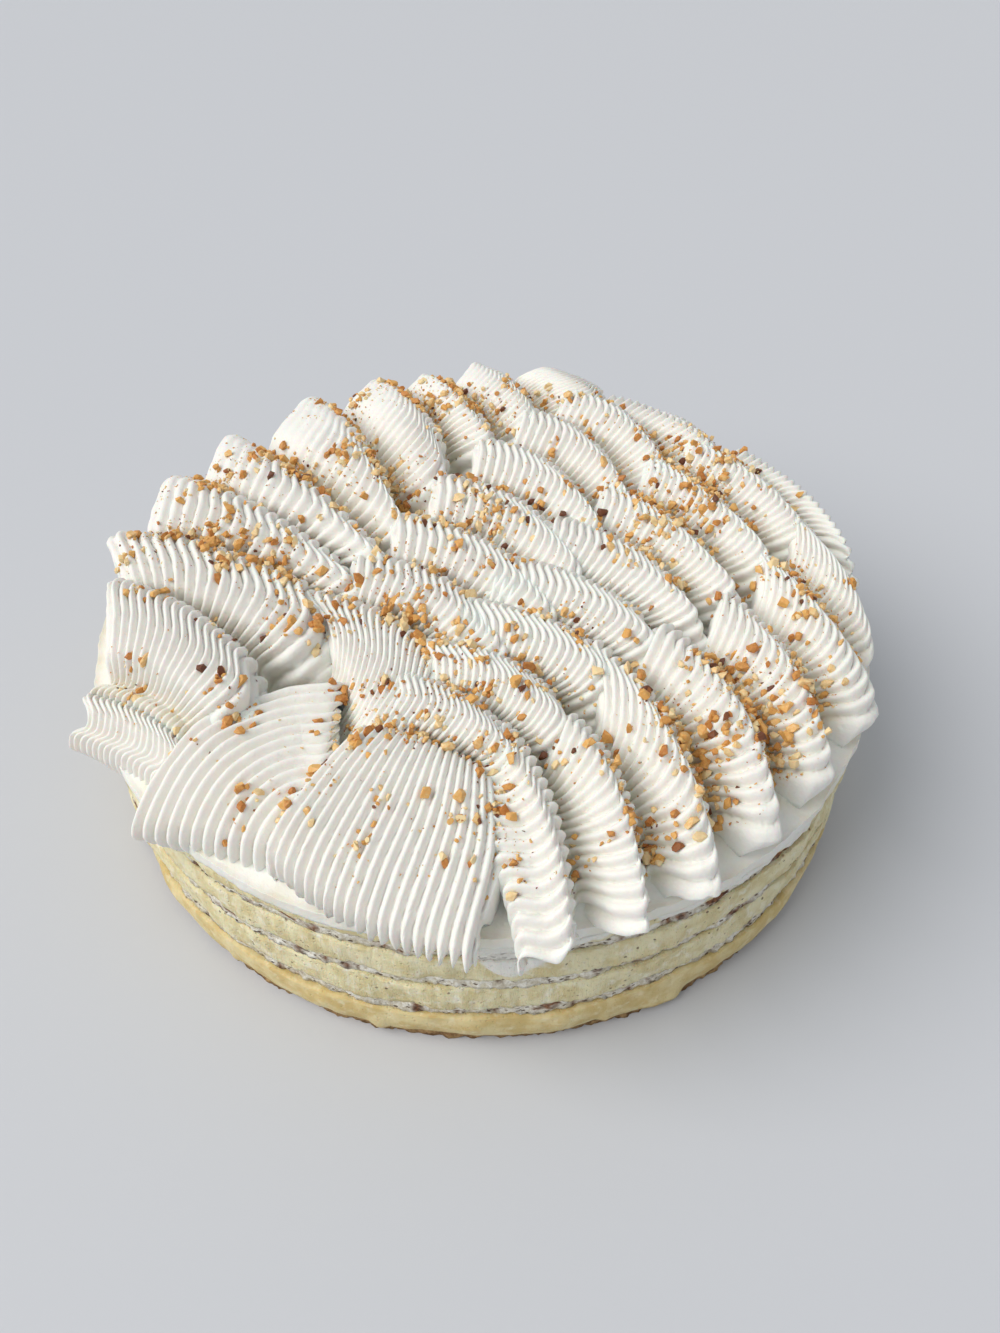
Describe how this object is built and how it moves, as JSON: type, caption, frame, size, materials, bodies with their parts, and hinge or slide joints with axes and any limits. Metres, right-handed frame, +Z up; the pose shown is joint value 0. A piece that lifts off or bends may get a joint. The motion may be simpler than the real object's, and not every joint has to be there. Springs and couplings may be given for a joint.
{
  "type": "whipped cream cake",
  "caption": "Round layered cream cake with scraped custard and nut layers at the side and a top of wide ruffled ribbons of piped whipped cream.",
  "frame": {"origin": "middle of the flat underside", "axes": "+Z up out of the top of the cake, -Y towards the front where the last piped ribbon hangs over the edge"},
  "size_m": [0.2505, 0.2607, 0.0782],
  "materials": {
    "nut_base": "rough, crumbly, browned",
    "deep_custard": "satin, moist",
    "nut_layer": "rough, crumbly, flecked with nut skin",
    "pale_custard": "satin, scraped",
    "smooth_cream": "satin, smeared smooth",
    "piped_cream": "satin, fine air bubbles",
    "toasted_nuts": "dry, toasted"
  },
  "bodies": {
    "root": {"nut_base": "nut_base", "deep_custard": "deep_custard", "nut_layer_1": "nut_layer", "pale_custard_1": "pale_custard", "nut_layer_2": "nut_layer", "pale_custard_2": "pale_custard", "nut_layer_3": "nut_layer", "pale_custard_3": "pale_custard", "cream_coat": "smooth_cream", "piped_stroke_1": "piped_cream", "piped_stroke_2": "piped_cream", "piped_stroke_3": "piped_cream", "piped_stroke_4": "piped_cream"}
  },
  "joints": []
}
